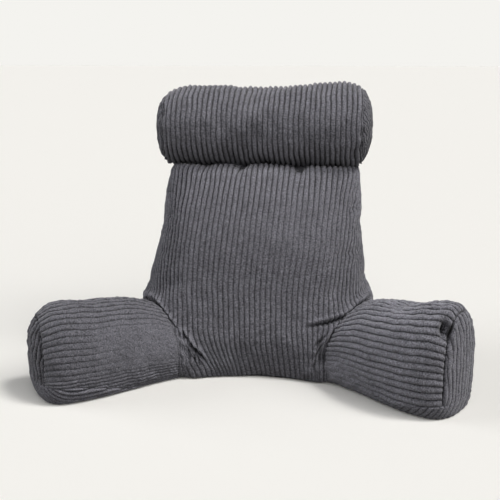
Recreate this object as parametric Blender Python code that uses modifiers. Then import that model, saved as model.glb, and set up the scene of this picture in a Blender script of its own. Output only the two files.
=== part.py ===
"""Reading pillow with arms: a filled backrest, two splayed arms, a neck roll and the sewn-on panels.

The pillow faces -Y and stands on the floor at z = 0. Its origin is on the floor, under the middle of the
whole pillow. Each filled part is lofted through the sections of its table and smoothed with one
subdivision. A sewn-on panel is the slice of the same rounded form on the far side of its seam, so
neighbours stay flush and a hair apart.
"""

import math

import bmesh
import bpy
from mathutils import Matrix, Vector

# Driving sizes, in metres.
GAP = 0.0003  # between neighbours that touch
BASE_CLOTH = 0.002  # thickness of the base panel
RING_POINTS = 22  # corners of one section of a cage
ROLL_POINTS = 18
BIG = 1.0  # edge of a cutting block
SMOOTHING = 1  # subdivision levels on a cage

# Backrest, from the floor up. mid_x is the middle of the section, half_width its reach to each side,
# front and back the y of its crowned faces.
BACKREST_COLUMNS = ("height", "mid_x", "half_width", "front", "back", "front_power")
BACKREST = (
    (-0.006, -0.002, 0.202, -0.069, 0.157, 4.5),
    (0.005, -0.002, 0.206, -0.072, 0.160, 4.4),
    (0.020, -0.003, 0.218, -0.080, 0.170, 4.2),
    (0.060, -0.004, 0.224, -0.078, 0.178, 3.8),
    (0.120, -0.006, 0.229, -0.059, 0.184, 3.2),
    (0.148, -0.008, 0.205, -0.051, 0.186, 3.1),
    (0.180, -0.0075, 0.2060, -0.043, 0.187, 2.9),
    (0.250, -0.0025, 0.1905, -0.029, 0.186, 2.8),
    (0.320, 0.0020, 0.1850, -0.011, 0.180, 2.8),
    (0.362, 0.006, 0.1795, 0.014, 0.172, 2.8),
    (0.388, 0.0065, 0.1695, 0.041, 0.163, 2.8),
    (0.404, 0.004, 0.148, 0.072, 0.148, 2.8),
)
BACKREST_BACK_POWER = 3.4

# Arms, from inside the backrest to the tip. x and y are the middle of a section, turn is how far the arm
# points forward of straight out to the side, half is half its thickness, low and top its lower and
# upper edge, and top_power how square it is above its middle.
ARM_COLUMNS = ("x", "y", "turn", "half", "low", "top", "top_power")
ARM_LEFT = (
    (-0.085, 0.066, 22.0, 0.078, -0.006, 0.035, 2.0),
    (-0.137, 0.006, 29.0, 0.079, -0.006, 0.062, 1.8),
    (-0.180, -0.029, 34.0, 0.082, -0.006, 0.123, 1.2),
    (-0.230, -0.076, 37.0, 0.075, -0.006, 0.150, 1.5),
    (-0.287, -0.137, 36.0, 0.067, -0.006, 0.158, 2.2),
    (-0.329, -0.168, 31.0, 0.065, -0.006, 0.166, 2.3),
    (-0.351, -0.177, 28.0, 0.061, -0.006, 0.158, 2.3),
    (-0.369, -0.177, 28.0, 0.053, -0.001, 0.139, 2.3),
    (-0.3820, -0.173, 28.0, 0.038, 0.009, 0.122, 2.3),
    (-0.3885, -0.171, 28.0, 0.016, 0.028, 0.100, 2.3),
)
ARM_RIGHT = (
    (0.085, 0.066, 22.0, 0.078, -0.006, 0.035, 2.3),
    (0.148, 0.010, 31.0, 0.079, -0.006, 0.074, 1.65),
    (0.189, -0.031, 38.0, 0.081, -0.006, 0.136, 1.5),
    (0.229, -0.070, 42.0, 0.0775, -0.006, 0.157, 1.9),
    (0.276, -0.123, 44.0, 0.0785, -0.006, 0.166, 2.3),
    (0.315, -0.163, 40.0, 0.071, -0.006, 0.187, 2.3),
    (0.337, -0.176, 34.0, 0.063, -0.006, 0.189, 2.3),
    (0.349, -0.176, 32.0, 0.052, -0.005, 0.175, 2.3),
    (0.359, -0.173, 32.0, 0.040, -0.001, 0.154, 2.3),
    (0.3625, -0.171, 32.0, 0.018, 0.016, 0.125, 2.3),
)
ARM_BASE_POWER = 4.4  # and below its middle
ARM_SEAM_ROW = 7  # the end panel is sewn on at this section

# Neck roll, from its left tip to its right tip.
ROLL_COLUMNS = ("x", "radius")
ROLL = (
    (-0.2000, 0.022),
    (-0.1984, 0.037),
    (-0.1925, 0.0508),
    (-0.1825, 0.0632),
    (-0.1500, 0.0740),
    (-0.0700, 0.0745),
    (0.0000, 0.0740),
    (0.0900, 0.0760),
    (0.1500, 0.0805),
    (0.1830, 0.0750),
    (0.1955, 0.058),
    (0.2030, 0.040),
    (0.2055, 0.022),
)
ROLL_CENTRE = Vector((0.0, 0.090, 0.4490))
ROLL_SEAM = 0.187  # distance of each round end panel's seam from the middle

CLOTH = (0.105, 0.107, 0.122)
CLOTH_ROUGHNESS = 0.95
SHADES = {
    "backrest_cloth": 1.0,
    "arm_cloth": 0.98,
    "end_cloth": 0.92,
    "roll_cloth": 1.04,
    "roll_end_cloth": 0.94,
    "base_cloth": 0.88,
}


def clear_scene():
    """Removes whatever the open file holds."""
    for obj in list(bpy.data.objects):
        bpy.data.objects.remove(obj, do_unlink=True)


def new_collection(name):
    collection = bpy.data.collections.new(name)
    bpy.context.scene.collection.children.link(collection)
    return collection


def cloth_material(name):
    """Cut-pile cloth, a little lighter or darker from panel to panel."""
    material = bpy.data.materials.new(name)
    material.use_nodes = True
    shader = material.node_tree.nodes["Principled BSDF"]
    colour = tuple(channel * SHADES[name] for channel in CLOTH)
    shader.inputs["Base Color"].default_value = (*colour, 1.0)
    shader.inputs["Roughness"].default_value = CLOTH_ROUGHNESS
    shader.inputs["Metallic"].default_value = 0.0
    material.diffuse_color = (*colour, 1.0)
    return material


def signed_power(value, power):
    return math.copysign(abs(value) ** power, value)


def cage_factor(points):
    """Makes up for the shrinking of a ring when its cage is subdivided."""
    return 6.0 / (4.0 + 2.0 * math.cos(2.0 * math.pi / points))


def named_rows(columns, rows):
    return [dict(zip(columns, row)) for row in rows]


def backrest_ring(row):
    """One level section: a rounded oblong with its own front and back reach."""
    middle = (row["front"] + row["back"]) / 2.0
    depth = (row["back"] - row["front"]) / 2.0
    factor = cage_factor(RING_POINTS)
    ring = []
    for i in range(RING_POINTS):
        angle = 2.0 * math.pi * i / RING_POINTS
        across, along = math.cos(angle), math.sin(angle)
        power = BACKREST_BACK_POWER if along > 0.0 else row["front_power"]
        x = row["mid_x"] + factor * row["half_width"] * signed_power(across, 2.0 / power)
        y = middle + factor * depth * signed_power(along, 2.0 / power)
        ring.append(Vector((x, y, row["height"])))
    return ring


def arm_ring(row, side):
    """One upright section of an arm, square below and rounder on top. side is -1 on the left."""
    turn = math.radians(row["turn"])
    inwards = Vector((-side * math.sin(turn), -math.cos(turn), 0.0))
    centre = Vector((row["x"], row["y"], (row["low"] + row["top"]) / 2.0))
    reach = (row["top"] - row["low"]) / 2.0
    factor = cage_factor(RING_POINTS)
    ring = []
    for i in range(RING_POINTS):
        angle = 2.0 * math.pi * i / RING_POINTS
        across, up = math.cos(angle), math.sin(angle)
        power = row["top_power"] if up > 0.0 else ARM_BASE_POWER
        out = factor * row["half"] * signed_power(across, 2.0 / power)
        rise = factor * reach * signed_power(up, 2.0 / power)
        ring.append(centre + inwards * out + Vector((0.0, 0.0, rise)))
    return ring


def roll_ring(row):
    """One round section across the neck roll."""
    factor = cage_factor(ROLL_POINTS)
    ring = []
    for i in range(ROLL_POINTS):
        angle = 2.0 * math.pi * i / ROLL_POINTS
        offset = Vector((row["x"], factor * row["radius"] * math.cos(angle),
                         factor * row["radius"] * math.sin(angle)))
        ring.append(ROLL_CENTRE + offset)
    return ring


def loft(name, rings, collection, material=None):
    """A closed cage through rings of equal count, smoothed by subdivision."""
    mesh = bpy.data.meshes.new(name)
    shape = bmesh.new()
    levels = [[shape.verts.new(point) for point in ring] for ring in rings]
    for lower, upper in zip(levels, levels[1:]):
        for i in range(len(lower)):
            j = (i + 1) % len(lower)
            shape.faces.new((lower[i], lower[j], upper[j], upper[i]))
    shape.faces.new(list(reversed(levels[0])))
    shape.faces.new(levels[-1])
    bmesh.ops.recalc_face_normals(shape, faces=shape.faces)
    shape.to_mesh(mesh)
    shape.free()
    mesh.shade_smooth()
    obj = bpy.data.objects.new(name, mesh)
    collection.objects.link(obj)
    if material:
        mesh.materials.append(material)
    smooth = obj.modifiers.new("smooth", "SUBSURF")
    smooth.levels = SMOOTHING
    smooth.render_levels = SMOOTHING
    facets = obj.modifiers.new("facets", "TRIANGULATE")
    facets.quad_method = "FIXED"
    return obj


def block(name, centre, turn, collection):
    """A large cutting block centred on a point and turned about the upright axis."""
    shape = bmesh.new()
    bmesh.ops.create_cube(shape, size=BIG)
    mesh = bpy.data.meshes.new(name)
    shape.to_mesh(mesh)
    shape.free()
    obj = bpy.data.objects.new(name, mesh)
    obj.matrix_world = Matrix.Translation(centre) @ Matrix.Rotation(turn, 4, "Z")
    collection.objects.link(obj)
    hide(obj)
    return obj


def hide(obj):
    """Marks a cutter: drawn as wire and never rendered."""
    obj.display_type = "WIRE"
    obj.hide_render = True


def grown_copy(name, rings, collection):
    """A cutter that stands off its form by the gap."""
    obj = loft(name, rings, collection)
    grow = obj.modifiers.new("grow", "DISPLACE")
    grow.direction = "NORMAL"
    grow.mid_level = 0.0
    grow.strength = GAP
    hide(obj)
    return obj


def boolean(obj, cutter, operation="DIFFERENCE"):
    """Cuts, joins or trims obj with another closed object."""
    modifier = obj.modifiers.new(cutter.name, "BOOLEAN")
    modifier.operation = operation
    modifier.solver = "EXACT"
    modifier.object = cutter


def backrest_rings():
    return [backrest_ring(row) for row in named_rows(BACKREST_COLUMNS, BACKREST)]


def arm_rings(rows, side):
    return [arm_ring(row, side) for row in named_rows(ARM_COLUMNS, rows)]


def roll_rings():
    return [roll_ring(row) for row in named_rows(ROLL_COLUMNS, ROLL)]


def build_backrest(parts, cutters, material):
    """The wedge-shaped back cushion, hollowed on top where the neck roll lies."""
    backrest = loft("backrest", backrest_rings(), parts, material)
    boolean(backrest, grown_copy("roll_form", roll_rings(), cutters))
    boolean(backrest, block("below_backrest", floor_block_centre(BASE_CLOTH + GAP), 0.0, cutters))
    return backrest


def floor_block_centre(height):
    """Centre of the block whose top face is at a height."""
    return Vector((0.0, 0.0, height - BIG / 2.0))


def seam_plane(rows, side):
    """Point, outward direction and turn of the plane in which an end panel is sewn to its arm."""
    row = named_rows(ARM_COLUMNS, rows)[ARM_SEAM_ROW]
    turn = math.radians(row["turn"])
    outwards = Vector((side * math.cos(turn), -math.sin(turn), 0.0))
    return Vector((row["x"], row["y"], 0.0)), outwards, math.atan2(outwards.y, outwards.x)


def build_arm(name, rows, side, parts, cutters, material, end_material):
    """One arm and its end panel, cut from one form on either side of their seam."""
    rings = arm_rings(rows, side)
    seam, outwards, turn = seam_plane(rows, side)
    arm = loft("arm_" + name, rings, parts, material)
    boolean(arm, grown_copy("backrest_for_" + name, backrest_rings(), cutters))
    boolean(arm, block("beyond_" + name, seam + outwards * (BIG - GAP) / 2.0, turn, cutters))
    boolean(arm, block("below_" + name, floor_block_centre(BASE_CLOTH + GAP), 0.0, cutters))
    end = loft("arm_end_" + name, rings, parts, end_material)
    boolean(end, block("within_" + name, seam - outwards * (BIG - GAP) / 2.0, turn, cutters))
    boolean(end, block("below_end_" + name, floor_block_centre(BASE_CLOTH + GAP), 0.0, cutters))
    return arm, end


def build_roll(parts, cutters, material, end_material):
    """The neck roll and its two round end panels."""
    roll = loft("neck_roll", roll_rings(), parts, material)
    for name, side in (("left", -1.0), ("right", 1.0)):
        seam = ROLL_CENTRE + Vector((side * ROLL_SEAM, 0.0, 0.0))
        outwards = Vector((side, 0.0, 0.0))
        boolean(roll, block("past_" + name, seam + outwards * (BIG - GAP) / 2.0, 0.0, cutters))
        end = loft("roll_end_" + name, roll_rings(), parts, end_material)
        boolean(end, block("inside_" + name, seam - outwards * (BIG - GAP) / 2.0, 0.0, cutters))


def build_base(parts, cutters, material):
    """The cloth under the whole pillow: the outline of all three forms at floor level."""
    base = loft("base_panel", backrest_rings(), parts, material)
    for name, rows, side in (("left", ARM_LEFT, -1.0), ("right", ARM_RIGHT, 1.0)):
        form = loft("base_of_" + name, arm_rings(rows, side), cutters)
        hide(form)
        boolean(base, form, "UNION")
    boolean(base, block("base_below", floor_block_centre(0.0), 0.0, cutters))
    boolean(base, block("base_above", Vector((0.0, 0.0, BASE_CLOTH + BIG / 2.0)), 0.0, cutters))
    return base


def evaluated_box(collection):
    """Lowest and highest corners of everything in a collection, after its modifiers."""
    graph = bpy.context.evaluated_depsgraph_get()
    points = []
    for obj in collection.objects:
        shape = obj.evaluated_get(graph)
        points += [obj.matrix_world @ vertex.co for vertex in shape.data.vertices]
    low = Vector(tuple(min(point[k] for point in points) for k in range(3)))
    high = Vector(tuple(max(point[k] for point in points) for k in range(3)))
    return low, high


def centre_over_origin(parts, cutters):
    """Moves the pillow so that the origin lies under the middle of its box."""
    bpy.context.view_layer.update()
    low, high = evaluated_box(parts)
    shift = Matrix.Translation(Vector((-(low.x + high.x) / 2.0, -(low.y + high.y) / 2.0, 0.0)))
    for obj in list(parts.objects) + list(cutters.objects):
        obj.matrix_world = shift @ obj.matrix_world
    bpy.context.view_layer.update()


def main():
    clear_scene()
    parts = new_collection("reading_pillow")
    cutters = new_collection("cutters")
    back_cloth = cloth_material("backrest_cloth")
    arm_cloth = cloth_material("arm_cloth")
    end_cloth = cloth_material("end_cloth")
    roll_cloth = cloth_material("roll_cloth")
    roll_end_cloth = cloth_material("roll_end_cloth")
    base_cloth = cloth_material("base_cloth")
    build_backrest(parts, cutters, back_cloth)
    build_arm("left", ARM_LEFT, -1.0, parts, cutters, arm_cloth, end_cloth)
    build_arm("right", ARM_RIGHT, 1.0, parts, cutters, arm_cloth, end_cloth)
    build_roll(parts, cutters, roll_cloth, roll_end_cloth)
    build_base(parts, cutters, base_cloth)
    centre_over_origin(parts, cutters)


main()
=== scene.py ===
"""Looks of the reading pillow: ribbed cut-pile covers over each filled form, their seams and puckers.

Every cover starts from the smooth form of its cushion. The backrest, the arms and the roll swell a little in
a cloth simulation. A form is then sampled along its ribs, so that a rib is one raised row of the mesh, and
creased where it is sewn.
"""

import math

import bmesh
import bpy
import numpy as np
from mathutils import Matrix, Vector


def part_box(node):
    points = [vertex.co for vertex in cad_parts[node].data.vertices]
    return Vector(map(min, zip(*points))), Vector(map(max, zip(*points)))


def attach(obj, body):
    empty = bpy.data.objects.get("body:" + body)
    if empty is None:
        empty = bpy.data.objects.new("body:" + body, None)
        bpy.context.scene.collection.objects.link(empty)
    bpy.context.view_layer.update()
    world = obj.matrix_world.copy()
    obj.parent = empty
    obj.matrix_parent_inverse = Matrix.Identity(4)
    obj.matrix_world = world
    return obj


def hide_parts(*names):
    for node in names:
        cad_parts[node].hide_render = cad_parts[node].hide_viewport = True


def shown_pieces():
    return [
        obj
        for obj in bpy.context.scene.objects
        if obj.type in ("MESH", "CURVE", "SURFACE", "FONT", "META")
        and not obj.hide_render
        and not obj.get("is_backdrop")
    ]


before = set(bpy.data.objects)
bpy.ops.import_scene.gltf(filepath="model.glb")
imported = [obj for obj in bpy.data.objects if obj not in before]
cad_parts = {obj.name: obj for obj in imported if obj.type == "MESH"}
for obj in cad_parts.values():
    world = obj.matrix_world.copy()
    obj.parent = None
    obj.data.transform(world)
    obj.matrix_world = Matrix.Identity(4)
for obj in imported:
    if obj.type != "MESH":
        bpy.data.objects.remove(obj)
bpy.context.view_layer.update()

# ---------------------------------------------------------------- sizes, in metres
PITCH = 0.0095  # from rib to rib on flat cloth
RIB_HEIGHT = 0.0034
RIB_SINK = 0.0018  # how far the grooves lie inside the form
FLOOR_CLEAR = 0.0030  # the covers end this far above the floor, on the base cloth
LOWEST_COVER = 0.0018  # no rib or crease reaches lower
LOWEST_BASE = 0.0004

# Middle of the neck roll in the coordinates of the tables below.
ROLL_Y = 0.0900
ROLL_Z = 0.4490
ROLL_SEAM = 0.187  # its end panels are sewn on this far to either side

# Backrest sections: height, middle, half width, front, back, squareness of the front.
BACKREST = np.array((
    (-0.006, -0.002, 0.202, -0.069, 0.157, 4.5),
    (0.005, -0.002, 0.206, -0.072, 0.160, 4.4),
    (0.020, -0.003, 0.218, -0.080, 0.170, 4.2),
    (0.060, -0.004, 0.224, -0.078, 0.178, 3.8),
    (0.120, -0.006, 0.229, -0.059, 0.184, 3.2),
    (0.148, -0.008, 0.205, -0.051, 0.186, 3.1),
    (0.180, -0.0075, 0.2060, -0.043, 0.187, 2.9),
    (0.250, -0.0025, 0.1905, -0.029, 0.186, 2.8),
    (0.320, 0.0020, 0.1850, -0.011, 0.180, 2.8),
    (0.362, 0.006, 0.1795, 0.014, 0.172, 2.8),
    (0.388, 0.0065, 0.1695, 0.041, 0.163, 2.8),
    (0.404, 0.004, 0.148, 0.072, 0.148, 2.8),
))
BACK_POWER = 3.4  # squareness of its back

# Arm sections: middle x and y, turn forward of straight out, half thickness, lower and upper edge,
# squareness of the top.
ARM = {
    -1: np.array((
        (-0.085, 0.066, 22.0, 0.078, -0.006, 0.035, 2.0),
        (-0.137, 0.006, 29.0, 0.079, -0.006, 0.062, 1.8),
        (-0.180, -0.029, 34.0, 0.082, -0.006, 0.123, 1.2),
        (-0.230, -0.076, 37.0, 0.075, -0.006, 0.150, 1.5),
        (-0.287, -0.137, 36.0, 0.067, -0.006, 0.158, 2.2),
        (-0.329, -0.168, 31.0, 0.065, -0.006, 0.166, 2.3),
        (-0.351, -0.177, 28.0, 0.061, -0.006, 0.158, 2.3),
        (-0.369, -0.177, 28.0, 0.053, -0.001, 0.139, 2.3),
        (-0.3820, -0.173, 28.0, 0.038, 0.009, 0.122, 2.3),
        (-0.3885, -0.171, 28.0, 0.016, 0.028, 0.100, 2.3),
        (-0.3895, -0.171, 28.0, 0.001, 0.071, 0.073, 2.3),
    )),
    1: np.array((
        (0.085, 0.066, 22.0, 0.078, -0.006, 0.035, 2.3),
        (0.148, 0.010, 31.0, 0.079, -0.006, 0.074, 1.65),
        (0.189, -0.031, 38.0, 0.081, -0.006, 0.136, 1.5),
        (0.229, -0.070, 42.0, 0.0775, -0.006, 0.157, 1.9),
        (0.276, -0.123, 44.0, 0.0785, -0.006, 0.166, 2.3),
        (0.315, -0.163, 40.0, 0.071, -0.006, 0.187, 2.3),
        (0.337, -0.176, 34.0, 0.063, -0.006, 0.189, 2.3),
        (0.349, -0.176, 32.0, 0.052, -0.005, 0.175, 2.3),
        (0.359, -0.173, 32.0, 0.040, -0.001, 0.154, 2.3),
        (0.3625, -0.171, 32.0, 0.018, 0.016, 0.125, 2.3),
        (0.3635, -0.171, 32.0, 0.001, 0.076, 0.078, 2.3),
    )),
}
ARM_SEAM_ROW = 7.0  # the end panel is sewn on here
ARM_BASE_POWER = 4.4  # squareness of the arms' lower halves
END_TOP_POWER = 2.3
SIDES = {-1: "left", 1: "right"}

# Neck roll: x and radius, from its left tip to its right tip.
ROLL = np.array((
    (-0.2002, 0.001),
    (-0.2000, 0.022),
    (-0.1984, 0.037),
    (-0.1925, 0.0508),
    (-0.1825, 0.0632),
    (-0.1500, 0.0740),
    (-0.0700, 0.0745),
    (0.0000, 0.0740),
    (0.0900, 0.0760),
    (0.1500, 0.0805),
    (0.1830, 0.0750),
    (0.1955, 0.058),
    (0.2030, 0.040),
    (0.2055, 0.022),
    (0.2057, 0.001),
))

# from the coordinates of the tables to the shared frame
roll_low, roll_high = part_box("neck_roll")
SHIFT = (np.array(roll_low) + np.array(roll_high)) / 2.0 - np.array((0.0, ROLL_Y, ROLL_Z))


# ---------------------------------------------------------------- small tools
def ramp(x, low, high):
    """Rises smoothly from 0 at low to 1 at high."""
    t = np.clip((x - low) / (high - low), 0.0, 1.0)
    return t * t * (3.0 - 2.0 * t)


def fall(x, low, high):
    """Falls smoothly from 1 at low to 0 at high."""
    return ramp(-x, -high, -low)


def bump(x, middle, width):
    return np.exp(-(((x - middle) / width) ** 2))


def signed_power(value, power):
    return np.sign(value) * np.abs(value) ** power


def rim_share(across, up, power):
    """Distance from the middle of a superellipse, where 1 is its rim."""
    return (np.abs(across) ** power + np.abs(up) ** power) ** (1.0 / power)


def spline(rows, t):
    """Cubic B-spline through table rows at fractional row numbers t."""
    count = len(rows)
    first, last = 2.0 * rows[0] - rows[1], 2.0 * rows[-1] - rows[-2]
    padded = np.vstack((first, rows, last, 2.0 * last - rows[-1]))
    t = np.clip(np.asarray(t, float), 0.0, count - 1.0)
    i = np.minimum(t.astype(int), count - 2)
    f = (t - i)[..., None]
    p0, p1, p2, p3 = padded[i], padded[i + 1], padded[i + 2], padded[i + 3]
    w0 = (1.0 - f) ** 3 / 6.0
    w1 = (3.0 * f**3 - 6.0 * f**2 + 4.0) / 6.0
    w2 = (-3.0 * f**3 + 3.0 * f**2 + 3.0 * f + 1.0) / 6.0
    return w0 * p0 + w1 * p1 + w2 * p2 + f**3 / 6.0 * p3


def smooth(table, count):
    """The whole of a table, at count evenly spaced row numbers."""
    return spline(table, np.linspace(0.0, len(table) - 1.0, count))


def lengths(points, axis=0):
    """Running length along an axis of a grid of points."""
    steps = np.linalg.norm(np.diff(points, axis=axis), axis=-1)
    zero = np.zeros_like(np.take(steps, [0], axis=axis))
    return np.concatenate((zero, np.cumsum(steps, axis=axis)), axis=axis)


def even(points, count):
    """The same curve with evenly spaced points."""
    run = lengths(points)
    where = np.linspace(0.0, run[-1], count)
    return np.stack([np.interp(where, run, points[:, k]) for k in range(points.shape[1])], axis=1)


def ripple(points, wavelength, seed, waves=9):
    """Smooth random field, about -1 to 1, with roughly the given wavelength."""
    rng = np.random.default_rng(seed)
    total = np.zeros(points.shape[:-1])
    for _ in range(waves):
        direction = rng.normal(size=3)
        direction *= 2.0 * math.pi / (wavelength * rng.uniform(0.7, 1.5) * np.linalg.norm(direction))
        total += np.sin(points @ direction + rng.uniform(0.0, 2.0 * math.pi))
    return total / math.sqrt(waves)


def normals(grid):
    """Unit normals of a grid of points, turned away from its middle."""
    du, dv = np.gradient(grid, axis=1), np.gradient(grid, axis=0)
    n = np.cross(du, dv)
    n /= np.maximum(np.linalg.norm(n, axis=-1, keepdims=True), 1e-12)
    for end, beside in ((0, 1), (-1, -2)):
        # rows that shrink to a point have no slope of their own
        if np.ptp(grid[end], axis=0).max() < 1e-6:
            n[end] = n[beside].mean(axis=0)
    middle = grid.reshape(-1, 3).mean(axis=0)
    if np.sum(n * (grid - middle)) < 0.0:
        n = -n
    return n


def crease(x, z, path, width):
    """Depth of a creased line on a panel. path holds the x, z and depth of its points."""
    nearest, depth = np.full(np.shape(x), 9.0), np.zeros(np.shape(x))
    for (x0, z0, d0), (x1, z1, d1) in zip(path, path[1:]):
        dx, dz = x1 - x0, z1 - z0
        f = np.clip(((x - x0) * dx + (z - z0) * dz) / (dx * dx + dz * dz), 0.0, 1.0)
        away = np.hypot(x - x0 - f * dx, z - z0 - f * dz)
        closer = away < nearest
        nearest = np.where(closer, away, nearest)
        depth = np.where(closer, d0 + f * (d1 - d0), depth)
    return depth * bump(nearest, 0.0, width)


def sample(grid, v, u):
    """Grid values at fractional row v and column u."""
    v, u = np.broadcast_arrays(v, u)
    v = np.clip(v, 0.0, grid.shape[0] - 1.0001)
    u = np.clip(u, 0.0, grid.shape[1] - 1.0001)
    i, j = v.astype(int), u.astype(int)
    a, b = (v - i)[..., None], (u - j)[..., None]
    low = grid[i, j] * (1.0 - b) + grid[i, j + 1] * b
    high = grid[i + 1, j] * (1.0 - b) + grid[i + 1, j + 1] * b
    return low * (1.0 - a) + high * a


def joined(x, y, z):
    """Points from their coordinates, which may be single numbers."""
    return np.stack(np.broadcast_arrays(x, y, z), axis=-1)


def placed(name, data):
    """A new object in the scene."""
    obj = bpy.data.objects.new(name, data)
    bpy.context.scene.collection.objects.link(obj)
    return obj


# ---------------------------------------------------------------- forms
def backrest_section(t, count):
    """One level section at table row t, as evenly spaced points from the front middle, to the right, round
    the back and back again, and the two seams' places along it, as fractions of its length."""
    height, middle, half, front, back, front_power = spline(BACKREST, np.array(t))
    angle = np.linspace(-0.5 * math.pi, 1.5 * math.pi, 4001)
    across, along = np.cos(angle), np.sin(angle)
    power = np.where(along > 0.0, BACK_POWER, front_power)
    y_middle, depth = (front + back) / 2.0, (back - front) / 2.0
    x = middle + half * signed_power(across, 2.0 / power)
    y = y_middle + depth * signed_power(along, 2.0 / power)
    ring = joined(x, y, height)
    run = lengths(ring)
    seams = np.interp((math.radians(7.0), math.radians(173.0)), angle, run) / run[-1]
    return even(ring, count), seams, run[-1]


def arm_frame(side, t):
    """Sections of an arm at rows t: middle, level direction from there to the inner face, half thickness,
    half height, and squareness of the top."""
    x, y, turn, half, low, top, top_power = np.moveaxis(spline(ARM[side], t), -1, 0)
    turn = np.radians(turn)
    inwards = joined(-side * np.sin(turn), -np.cos(turn), 0.0)
    return joined(x, y, (low + top) / 2.0), inwards, half, (top - low) / 2.0, top_power


def arm_sections(side, t, angle):
    """Points of an arm's form at rows t and section angles, 0 on the inner face and 90 degrees on top."""
    centre, inwards, half, reach, top_power = arm_frame(side, t)
    across, up = np.cos(angle), np.sin(angle)
    power = np.where(up > 0.0, top_power, ARM_BASE_POWER)
    points = centre + inwards * (half * signed_power(across, 2.0 / power))[..., None]
    points[..., 2] += reach * signed_power(up, 2.0 / power)
    return points


def arm_depth(side, points, batch=20000):
    """How far points are outside (+) or inside (-) an arm's form, roughly, in metres."""
    centre, inwards, half, reach, top_power = arm_frame(side, np.linspace(0.0, len(ARM[side]) - 2.0, 160))
    inwards = inwards[:, :2]
    axis = side * np.stack((-inwards[:, 1], inwards[:, 0]), axis=-1)
    flat = points.reshape(-1, 3)
    result = np.empty(len(flat))
    for start in range(0, len(flat), batch):
        part = flat[start:start + batch]
        gap = part[:, None, :2] - centre[None, :, :2]
        ahead = np.abs(np.einsum("ijk,jk->ij", gap, axis))
        ahead += 0.2 * np.abs(np.einsum("ijk,jk->ij", gap, inwards))
        row = ahead.argmin(axis=1)
        pick = np.arange(len(part))
        out = np.einsum("ik,ik->i", gap[pick, row], inwards[row]) / half[row]
        rise = (part[:, 2] - centre[row, 2]) / reach[row]
        size = rim_share(out, rise, np.where(rise > 0.0, top_power[row], ARM_BASE_POWER))
        beyond = np.maximum(ahead[pick, row] - 0.2 * np.abs(out) * half[row] - 0.01, 0.0)
        result[start:start + batch] = (size - 1.0) * np.minimum(half[row], reach[row]) + beyond
    return result.reshape(points.shape[:-1])


BACKREST_ROWS = np.linspace(0.0, len(BACKREST) - 1.0, 400)
BACKREST_LEVELS = spline(BACKREST, BACKREST_ROWS)
ROLL_LEVELS = smooth(ROLL, 400)


def backrest_depth(points):
    """How far points are outside (+) or inside (-) the backrest's form, roughly, in metres."""
    at = [np.interp(points[..., 2], BACKREST_LEVELS[:, 0], BACKREST_LEVELS[:, k]) for k in range(1, 6)]
    middle, half, front, back, front_power = at
    depth = (back - front) / 2.0
    across = (points[..., 0] - middle) / half
    along = (points[..., 1] - (front + back) / 2.0) / depth
    size = rim_share(across, along, np.where(along > 0.0, BACK_POWER, front_power))
    return (size - 1.0) * np.minimum(half, depth)


# ---------------------------------------------------------------- ribs and meshes
OFFSETS = np.array((-0.5, -0.46, -0.38, -0.22, 0.0, 0.22, 0.38, 0.46))  # mesh columns of one rib


def rib_profile(c):
    """Height of the pile, 0 in a groove to 1 on a rib, at rib coordinate c."""
    x = np.abs(2.0 * (c - np.round(c)))
    return np.sqrt(np.clip(1.0 - x**2.6, 0.0, 1.0))


def rib_columns(first, last):
    """Rib coordinates of the mesh columns that rib-aligned cloth needs."""
    c = (np.arange(first, last + 1)[:, None] + OFFSETS[None]).ravel()
    return np.append(c, last + 0.5)


def inside_out(points, triangles):
    """True where the faces of a closed form point inwards."""
    a, b, c = (points[triangles[:, k]] for k in range(3))
    return np.sum(a * np.cross(b, c)) < 0.0


class Cloth:
    """Collects grids of one piece and turns them into one welded mesh."""

    def __init__(self):
        self.points, self.rib, self.faces, self.count = [], [], [], 0

    def add(self, grid, rib=None):
        rows, columns = grid.shape[:2]
        index = np.arange(rows * columns).reshape(rows, columns) + self.count
        quads = np.stack((index[:-1, :-1], index[:-1, 1:], index[1:, 1:], index[1:, :-1]), axis=-1)
        self.points.append(grid.reshape(-1, 3))
        self.rib.append(np.zeros(rows * columns) if rib is None else np.asarray(rib).ravel())
        self.faces.append(quads.reshape(-1, 4))
        self.count += rows * columns

    def cap(self, loop, first=False):
        """Closes the first or last row of a closed form with a fan to its middle."""
        centre = np.broadcast_to(loop.mean(axis=0), loop.shape)
        self.add(np.stack((centre, loop) if first else (loop, centre)))

    def build(self, name, tolerance=2e-5):
        points = np.vstack(self.points)
        rib = np.concatenate(self.rib)
        faces = np.vstack(self.faces)
        key = np.round(points / tolerance).astype(np.int64)
        _, first, inverse = np.unique(key, axis=0, return_index=True, return_inverse=True)
        faces = inverse.ravel()[faces]
        same = faces == np.roll(faces, -1, axis=1)
        crossed = (faces[:, 0] == faces[:, 2]) | (faces[:, 1] == faces[:, 3])
        whole = faces[(same.sum(axis=1) == 0) & ~crossed]
        folded = (same.sum(axis=1) == 1) & ~crossed
        order = (same[folded].argmax(axis=1)[:, None] + np.array((1, 2, 3))[None]) % 4
        triangles = np.take_along_axis(faces[folded], order, axis=1)
        if inside_out(points[first], np.vstack((whole[:, :3], whole[:, [0, 2, 3]], triangles))):
            whole, triangles = whole[:, ::-1], triangles[:, ::-1]
        mesh = bpy.data.meshes.new(name)
        mesh.from_pydata(points[first].tolist(), [], whole.tolist() + triangles.tolist())
        mesh.validate()
        # the rib value colours the cloth from painted groove shade to pile, so lowered ribs at seams, creases
        # and holes are painted shade
        layer = mesh.attributes.new("rib", "FLOAT", "POINT")
        layer.data.foreach_set("value", rib[first].astype(np.float32))
        mesh.shade_smooth()
        return placed(name, mesh)


def raise_ribs(points, normal, profile, amount):
    """Pile height over the form: grooves lie a little inside it and ribs stand proud."""
    height = RIB_HEIGHT * profile * amount - RIB_SINK
    return points + normal * height[..., None]


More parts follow.
